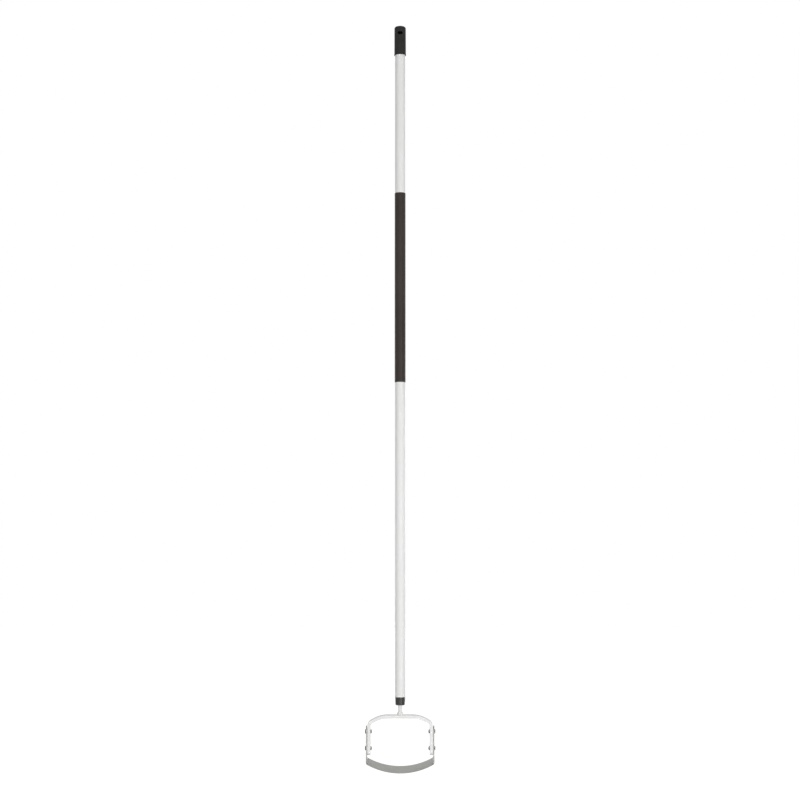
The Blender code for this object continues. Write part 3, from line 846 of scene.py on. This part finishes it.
arm_middle = bow_high.x - BOW_THICKNESS / 2.0
bar_middle = bow_high.z - BOW_THICKNESS / 2.0
shoulder_x = BOW_FLAT_HALF + FIRST_RADIUS * math.sin(SHOULDER_ANGLE)
shoulder_z = bar_middle - FIRST_RADIUS * (1.0 - math.cos(SHOULDER_ANGLE))
slope_run = arm_middle - shoulder_x - CORNER_RADIUS * (1.0 - math.sin(SHOULDER_ANGLE))
slope_drop = slope_run * math.tan(SHOULDER_ANGLE)
corner_z = shoulder_z - slope_drop - CORNER_RADIUS * math.cos(SHOULDER_ANGLE)
first_centre = (BOW_FLAT_HALF, 0.0, bar_middle - FIRST_RADIUS)
corner_centre = (arm_middle - CORNER_RADIUS, 0.0, corner_z)
corner_angle = math.radians(90.0) - SHOULDER_ANGLE
print("bow arms at", round(arm_middle, 4), "sloped run", round(slope_run, 4))

# %% Bend the bow
def draw_out(run, rise):
    """Extrudes the strap's open end by a straight length, seen from the front."""
    bpy.ops.mesh.extrude_region_move(TRANSFORM_OT_translate={"value": (run, 0.0, rise)})


def bend_down(angle, centre):
    """Carries the strap's open end round a bend."""
    bpy.ops.mesh.spin(steps=BEND_STEPS, angle=angle, center=centre, axis=(0.0, -1.0, 0.0))


start_alone()
upright = (0.0, math.radians(90.0), 0.0)
bpy.ops.mesh.primitive_plane_add(size=1.0, location=(0.0, 0.0, bar_middle), rotation=upright)
bow = bpy.context.object
bow.scale = (BOW_THICKNESS, 2.0 * BOW_HALF_WIDTH, 1.0)
settle(bow, "bow_strap")
edit_all()
draw_out(BOW_FLAT_HALF, 0.0)
bend_down(SHOULDER_ANGLE, first_centre)
draw_out(slope_run, -slope_drop)
bend_down(corner_angle, corner_centre)
draw_out(0.0, bow_low.z - corner_z)
bpy.ops.object.mode_set(mode="OBJECT")
print("bent half", [round(value, 4) for value in bow.dimensions])

# %% Round the arm's end
def select_where(piece, test, kind="EDGE"):
    """Selects the faces or edges whose middle passes a test, and leaves the piece in edit mode."""
    pick(piece)
    bpy.ops.object.mode_set(mode="EDIT")
    bpy.ops.mesh.select_mode(type=kind)
    bpy.ops.mesh.select_all(action="DESELECT")
    bpy.ops.object.mode_set(mode="OBJECT")
    mesh = piece.data
    for item in (mesh.polygons if kind == "FACE" else mesh.edges):
        corners = [mesh.vertices[index].co for index in item.vertices]
        item.select = test(sum(corners, Vector()) / len(corners), corners)
    bpy.ops.object.mode_set(mode="EDIT")


def at_arm_end(middle, corners):
    """True for the short edges across the strap's thickness at the end of the arm."""
    along_x = abs(corners[0].x - corners[1].x) > 0.9 * BOW_THICKNESS
    return along_x and middle.z < bow_low.z + 1.0 * MM


def on_mirror_plane(middle, corners):
    return abs(middle.x) < 0.01 * MM


select_where(bow, at_arm_end)
bpy.ops.mesh.bevel(offset=ARM_END_ROUND, segments=14, affect="EDGES")
select_where(bow, on_mirror_plane, "FACE")
bpy.ops.mesh.delete(type="FACE")
bpy.ops.object.mode_set(mode="OBJECT")

mirror = bow.modifiers.new("other half", "MIRROR")
mirror.use_clip = True
rounding = bow.modifiers.new("rounded edges", "BEVEL")
rounding.width = EDGE_ROUND
rounding.segments = 4
rounding.limit_method = "ANGLE"
rounding.angle_limit = math.radians(50.0)
apply_modifiers(bow)
print("bow", len(bow.data.polygons), "faces", [round(value, 4) for value in bow.dimensions])

# %% Screw holes in the arms
SCREW_RADIUS = 2.5 * MM
SCREW_PLAY = 0.3 * MM
BAR_LENGTH = 4.0 * bow_high.x
pivot_low, pivot_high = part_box("pivot_screw_right")
stop_low, stop_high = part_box("stop_screw_right")
PIVOT_Z = (pivot_low.z + pivot_high.z) / 2.0
STOP_Z = (stop_low.z + stop_high.z) / 2.0


def bar_across(name, radius, height, sides=64):
    """A round bar along X, long enough to drill both arms in one go."""
    start_alone()
    bpy.ops.mesh.primitive_cylinder_add(
        vertices=sides, radius=radius, depth=BAR_LENGTH,
        location=(0.0, 0.0, height), rotation=(0.0, math.radians(90.0), 0.0),
    )
    return settle(bpy.context.object, name)


for drill_height in (PIVOT_Z, STOP_Z):
    cut_away(bow, bar_across("bow_drill", SCREW_RADIUS + SCREW_PLAY, drill_height))
smooth(bow, 35.0)
finish_piece(bow, steel_paint, "white_paint", HANDLE, "bow")

# %% [markdown]
# ## Blade
#
# The blade is a thinner strap whose cross-section changes along its way: sharpened on both edges
# under the arch, plain up the legs, and tipped towards the camera under the arch but not at the
# pivots. Spin keeps a section unchanged, so here one primitive grid is wrapped round the strap
# instead. Its columns become the stations along the strap and its rows go round the section. Its
# UV map is laid out by the real lengths, which gives the steel's streaks their direction.

# %% Blade sizes
blade_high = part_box("blade")[1]
BLADE_THICKNESS = 2.3 * MM
BLADE_HALF_WIDTH = 12.2 * MM
BLADE_PITCH = math.tan(math.radians(28.0))
BLADE_MIDDLE_Z = -1599.3 * MM
ARCH_RADIUS = 144.0 * MM
BLADE_CORNER = 5.0 * MM
TWIST_LENGTH = 12.0 * MM
GRIND_WIDTH = 4.0 * MM
GRIND_LAND = 0.5 * MM
LEG_EDGE = 0.35 * MM
LEG_LAND = BLADE_THICKNESS - LEG_EDGE

leg_middle = blade_high.x - BLADE_THICKNESS / 2.0
arch_centre_z = BLADE_MIDDLE_Z + ARCH_RADIUS
corner_x = leg_middle - BLADE_CORNER
arch_turn = math.asin(corner_x / (ARCH_RADIUS - BLADE_CORNER))
blade_corner_z = arch_centre_z - (ARCH_RADIUS - BLADE_CORNER) * math.cos(arch_turn)
print("arch turns", round(math.degrees(arch_turn), 1), "degrees each way")

# %% Stations along the blade
ARCH_STEPS = 40
CORNER_STEPS = 16
TWIST_STEPS = 12
LEG_STEPS = 6
END_STEPS = 24
END_TURN = math.radians(87.0)
LEG_TURN = math.pi / 2.0


def ease(share):
    """Turns an even run from 0 to 1 into one that starts and ends gently."""
    return share * share * (3.0 - 2.0 * share)


def half_stations():
    """Each station: x, z, direction, half width, pitch, grind and land, from the middle outwards."""
    stations = []
    for step in range(ARCH_STEPS + 1):
        turn = arch_turn * step / ARCH_STEPS
        x = ARCH_RADIUS * math.sin(turn)
        z = arch_centre_z - ARCH_RADIUS * math.cos(turn)
        stations.append((x, z, turn, BLADE_HALF_WIDTH, BLADE_PITCH, GRIND_WIDTH, GRIND_LAND))
    for step in range(1, CORNER_STEPS + 1):
        share = step / CORNER_STEPS
        turn = arch_turn + (LEG_TURN - arch_turn) * share
        x = corner_x + BLADE_CORNER * math.sin(turn)
        z = blade_corner_z - BLADE_CORNER * math.cos(turn)
        grind = GRIND_WIDTH + (LEG_EDGE - GRIND_WIDTH) * share
        land = GRIND_LAND + (LEG_LAND - GRIND_LAND) * share
        stations.append((x, z, turn, BLADE_HALF_WIDTH, BLADE_PITCH, grind, land))
    for step in range(1, TWIST_STEPS + 1):
        share = step / TWIST_STEPS
        height = blade_corner_z + TWIST_LENGTH * share
        pitch = BLADE_PITCH * (1.0 - ease(share))
        stations.append((leg_middle, height, LEG_TURN, BLADE_HALF_WIDTH, pitch, LEG_EDGE, LEG_LAND))
    straight = PIVOT_Z - blade_corner_z - TWIST_LENGTH
    for step in range(1, LEG_STEPS):
        height = blade_corner_z + TWIST_LENGTH + straight * step / LEG_STEPS
        stations.append((leg_middle, height, LEG_TURN, BLADE_HALF_WIDTH, 0.0, LEG_EDGE, LEG_LAND))
    for step in range(END_STEPS + 1):
        turn = END_TURN * step / END_STEPS
        width = BLADE_HALF_WIDTH * math.cos(turn)
        height = PIVOT_Z + BLADE_HALF_WIDTH * math.sin(turn)
        edge = min(LEG_EDGE, width / 4.0)
        stations.append((leg_middle, height, LEG_TURN, width, 0.0, edge, LEG_LAND))
    return stations


right_half = half_stations()
left_half = [(-x, z, -turn, *rest) for x, z, turn, *rest in right_half[1:]]
stations = list(reversed(left_half)) + right_half
print(len(stations), "stations")

# %% Wrap a grid round the blade
OUTER_SHARES = (-1.0, -0.5, 0.0, 0.5, 1.0)
INNER_SHARES = (1.0, 0.33, -0.33, -1.0)
SOFT_EDGE = 0.12 * MM


def section_points(width, grind, land):
    """Points (across, out) round the strap: outer face, ground edge, inner face, other edge."""
    half = BLADE_THICKNESS / 2.0
    flat = width - grind
    points = [(width * share, -half) for share in OUTER_SHARES]
    points += [(width, land - half)]
    points += [(flat * share, half) for share in INNER_SHARES]
    return points + [(-width, land - half)]


ROUND_COUNT = len(section_points(1.0, 0.1, 0.1))
along = [0.0]
for before, after in zip(stations, stations[1:]):
    along.append(along[-1] + math.dist(before[:2], after[:2]))
girth = 4.0 * BLADE_HALF_WIDTH + 2.0 * BLADE_THICKNESS
start_alone()
bpy.ops.mesh.primitive_grid_add(x_subdivisions=len(stations) - 1, y_subdivisions=ROUND_COUNT, size=1.0)
blade = bpy.context.object

# The grid is 1 wide, so a vertex's place tells its column and its row.
map_places = []
for vertex in blade.data.vertices:
    column = round((vertex.co.x + 0.5) * (len(stations) - 1))
    lap, row = divmod(round((vertex.co.y + 0.5) * ROUND_COUNT), ROUND_COUNT)
    x, z, turn, width, pitch, grind, land = stations[column]
    across = Vector((0.0, 1.0, pitch))
    normal = Vector((math.cos(turn), 0.0, math.sin(turn))).cross(across).normalized()
    along_y, out = section_points(width, grind, land)[row]
    vertex.co = Vector((x, 0.0, z)) + across * along_y + normal * out
    if row < len(OUTER_SHARES):
        round_place = OUTER_FACE_V + along_y / girth
    else:
        round_place = INNER_FACE_V - along_y / girth
    map_places.append((along[column] / along[-1], lap + round_place))
for corner in blade.data.loops:
    blade.data.uv_layers.active.data[corner.index].uv = map_places[corner.vertex_index]
settle(blade, "blade_strap")
edit_all()
bpy.ops.mesh.remove_doubles(threshold=MERGE_DISTANCE)
bpy.ops.mesh.select_mode(type="EDGE")
bpy.ops.mesh.select_all(action="DESELECT")
bpy.ops.mesh.select_non_manifold()
bpy.ops.mesh.edge_face_add()
face_outwards()
softened = blade.modifiers.new("softened edges", "BEVEL")
softened.width = SOFT_EDGE
softened.segments = 2
softened.limit_method = "ANGLE"
softened.angle_limit = math.radians(24.0)
apply_modifiers(blade)
print("blade box", [round(value, 4) for value in blade.dimensions])

# %% [markdown]
# ### Pivot holes and stop slots
#
# Each leg turns on a bush at its top, and a slot lower down limits the swing. The slot is an arc
# round the pivot. Its cutter is a short plane swept by Spin about the pivot's axis, with a round
# bar at either end.

# %% Pivot holes and stop slots
BUSH_RADIUS = 3.8 * MM
LEG_HOLE = BUSH_RADIUS + 0.3 * MM
SWING_REACH = math.radians(8.5)
SLOT_STEPS = 16
STOP_DROP = PIVOT_Z - STOP_Z


def slot_sweep():
    """The middle of the slot: a plane across both legs, carried along the arc."""
    start_alone()
    facing = (math.radians(90.0), 0.0, 0.0)
    bpy.ops.mesh.primitive_plane_add(size=1.0, location=(0.0, 0.0, STOP_Z), rotation=facing)
    sweep = bpy.context.object
    sweep.scale = (BAR_LENGTH, 2.0 * LEG_HOLE, 1.0)
    settle(sweep, "slot_cutter")
    sweep.data.transform(
        Matrix.Translation((0.0, 0.0, PIVOT_Z)) @ Matrix.Rotation(-SWING_REACH, 4, "X")
        @ Matrix.Translation((0.0, 0.0, -PIVOT_Z))
    )
    edit_all()
    bpy.ops.mesh.spin(
        steps=SLOT_STEPS, angle=2.0 * SWING_REACH, center=(0.0, 0.0, PIVOT_Z), axis=(-1.0, 0.0, 0.0)
    )
    face_outwards()
    return sweep


sweep = slot_sweep()
sweep_low = min(vertex.co.y for vertex in sweep.data.vertices)
sweep_high = max(vertex.co.y for vertex in sweep.data.vertices)
print("slot sweep from", round(sweep_low / MM, 2), "to", round(sweep_high / MM, 2), "mm")
cut_away(blade, sweep)
cut_away(blade, bar_across("pivot_cutter", LEG_HOLE, PIVOT_Z))
slot_half = STOP_DROP * math.sin(SWING_REACH)
slot_end_height = PIVOT_Z - STOP_DROP * math.cos(SWING_REACH)
for slot_end in (-slot_half, slot_half):
    end_bar = bar_across("slot_end_cutter", LEG_HOLE, 0.0)
    end_bar.data.transform(Matrix.Translation((0.0, slot_end, slot_end_height)))
    cut_away(blade, end_bar)
smooth(blade, 20.0)
strap_steel = bare_steel(
    "blade_strap_steel", (0.405, 0.405, 0.39), (0.32, 0.32, 0.308),
    roughness=0.40, length=along[-1], girth=girth,
)
finish_piece(blade, strap_steel, "blade_steel", BLADE, "blade")

# %% [markdown]
# ## Screws, bushes and nuts
#
# Four sets of fixings hold the blade to the bow. One screw, one bush and one nut are modelled
# upright with the head towards +Z. Each is then copied with a mesh of its own and laid along X.
# The screws are also turned, each by its own angle, because no two stop at the same place.

# %% Screw
HEAD_RADIUS = 4.9 * MM
HEAD_LIP = 0.5 * MM
CROWN_RADIUS = 2.4 * MM
SOCKET_WIDTH = 3.0 * MM
SOCKET_DEPTH = 1.3 * MM
THREAD_PITCH = 0.8 * MM
THREAD_DEPTH = 0.35 * MM
THREAD_TURNS = 5
HEAD_HEIGHT = 1.6 * MM
DOME_STEPS = 12
DOME_ANGLE = 86.0
head_top = pivot_high.x
under_head = head_top - HEAD_HEIGHT
tip = pivot_low.x


def hexagon_bar(name, width, length, height):
    """A six-sided bar along Z with its middle at this height, measured across two flats."""
    start_alone()
    bpy.ops.mesh.primitive_cylinder_add(
        vertices=6, radius=width / math.sqrt(3.0), depth=length, location=(0.0, 0.0, height)
    )
    return settle(bpy.context.object, name)


screw_rings = [(0.8 * MM, head_top), (CROWN_RADIUS - 0.15 * MM, head_top)]
for step in range(DOME_STEPS + 1):
    turn = math.radians(DOME_ANGLE - DOME_ANGLE * step / DOME_STEPS)
    screw_rings.append((
        CROWN_RADIUS + (HEAD_RADIUS - CROWN_RADIUS) * math.cos(turn),
        under_head + HEAD_LIP + (HEAD_HEIGHT - HEAD_LIP) * math.sin(turn),
    ))
screw_rings += [
    (HEAD_RADIUS, under_head + 0.12 * MM), (HEAD_RADIUS - 0.12 * MM, under_head),
    (SCREW_RADIUS, under_head),
]
arm_inner = bow_high.x - BOW_THICKNESS
for turn in range(THREAD_TURNS):
    crest = arm_inner - THREAD_PITCH * turn
    if crest - THREAD_PITCH > tip + 0.2 * MM:
        screw_rings += [(SCREW_RADIUS, crest), (SCREW_RADIUS - THREAD_DEPTH, crest - THREAD_PITCH * 0.5)]
screw_rings += [(SCREW_RADIUS - 0.1 * MM, tip + 0.45 * MM), (SCREW_RADIUS - 0.6 * MM, tip)]
model_screw = turn_rings("model_screw", screw_rings, sides=48)

cut_away(model_screw, hexagon_bar("socket_cutter", SOCKET_WIDTH, 2.0 * SOCKET_DEPTH, head_top))
mouth_ring = (SOCKET_WIDTH / math.sqrt(3.0) + 0.5 * MM, head_top + 0.3 * MM)
socket_mouth = turn_rings("socket_mouth", [mouth_ring, (0.2 * MM, head_top - 1.2 * MM)], sides=48)
cut_away(model_screw, socket_mouth)
smooth(model_screw, 35.0)
print("screw from", round(tip / MM, 2), "to", round(head_top / MM, 2))

# %% Bush
BUSH_BORE = 2.5 * MM
BUSH_CHAMFER = 0.15 * MM
bush_inner = bow_high.x
bush_outer = under_head
model_bush = closed_rings("model_bush", [
    (BUSH_RADIUS - BUSH_CHAMFER, bush_outer), (BUSH_RADIUS, bush_outer - BUSH_CHAMFER),
    (BUSH_RADIUS, bush_inner + BUSH_CHAMFER), (BUSH_RADIUS - BUSH_CHAMFER, bush_inner),
    (BUSH_BORE, bush_inner), (BUSH_BORE, bush_outer),
], sides=64)
print("bush", len(model_bush.data.polygons), "faces")

# %% [markdown]
# A nut's corners are turned off at both faces, which gives the curved bright edges that a plain
# six-sided bar lacks. The bar is intersected with a turned lens for that, then bored.

# %% Nut
NUT_WIDTH = 8.0 * MM
NUT_SLANT = 0.5 * MM
BORE_SLANT = 0.5 * MM
nut_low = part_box("pivot_nut_right")[0]
nut_height = arm_inner - nut_low.x
nut_middle = (arm_inner + nut_low.x) / 2.0
half_nut = nut_height / 2.0

model_nut = hexagon_bar("model_nut", NUT_WIDTH, nut_height, nut_middle)
face_radius = NUT_WIDTH / 2.0 - 0.1 * MM
corner_radius = NUT_WIDTH / math.sqrt(3.0) + 0.05 * MM
lens = turn_rings("nut_lens", [
    (face_radius, nut_middle + half_nut), (corner_radius, nut_middle + half_nut - NUT_SLANT),
    (corner_radius, nut_middle - half_nut + NUT_SLANT), (face_radius, nut_middle - half_nut),
], sides=72)
cut_away(model_nut, lens, "INTERSECT")
mouth = SCREW_RADIUS + 0.5 * MM
root = SCREW_RADIUS - 0.1 * MM
bore = turn_rings("nut_bore", [
    (mouth, nut_middle + half_nut + 0.2 * MM), (root, nut_middle + half_nut - BORE_SLANT),
    (root, nut_middle - half_nut + BORE_SLANT), (mouth, nut_middle - half_nut - 0.2 * MM),
], sides=48)
cut_away(model_nut, bore)
smooth(model_nut, 30.0)
print("nut", len(model_nut.data.polygons), "faces")


# %% Lay the fixings
def lay_copy(model, name, side, height, own_turn=0.0):
    """A copy with its own mesh: turned about its own axis, laid along X, placed at its height."""
    pick(model)
    bpy.ops.object.duplicate(linked=False)
    copy = bpy.context.object
    copy.data.transform(Matrix.Rotation(math.radians(own_turn), 4, "Z"))
    copy.rotation_euler.y = math.radians(90.0 * side)
    copy.location.z = height
    return settle(copy, name)


FIXING_PLACES = (
    ("pivot", "left", -1.0, PIVOT_Z, 17.0), ("pivot", "right", 1.0, PIVOT_Z, 41.0),
    ("stop", "left", -1.0, STOP_Z, 52.0), ("stop", "right", 1.0, STOP_Z, 8.0),
)
for label, side_name, side, height, own_turn in FIXING_PLACES:
    ending = "_" + side_name
    screw = lay_copy(model_screw, label + "_cap_screw" + ending, side, height, own_turn)
    finish_piece(screw, black_oxide, "dark_steel", HANDLE, label + "_screw" + ending)
    bush = lay_copy(model_bush, label + "_sleeve" + ending, side, height)
    finish_piece(bush, black_oxide, "dark_steel", HANDLE, label + "_bush" + ending)
    nut = lay_copy(model_nut, label + "_hex_nut" + ending, side, height)
    finish_piece(nut, zinc_plate, "plated_steel", HANDLE, label + "_nut" + ending)
for model in (model_screw, model_bush, model_nut):
    bpy.data.objects.remove(model)

# %% [markdown]
# ## Pieces inside the tube
#
# The plug that centres the stem and the dished ring that holds it stay as the frame made them,
# since nobody sees them. They still get the finishes of their materials.

# %% Pieces inside the tube
for node_name, material in (("stem_plug", black_plastic), ("stem_retainer", black_oxide)):
    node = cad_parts[node_name]
    for place in node.material_slots:
        place.material = material
    print(node_name, "in", material.name)
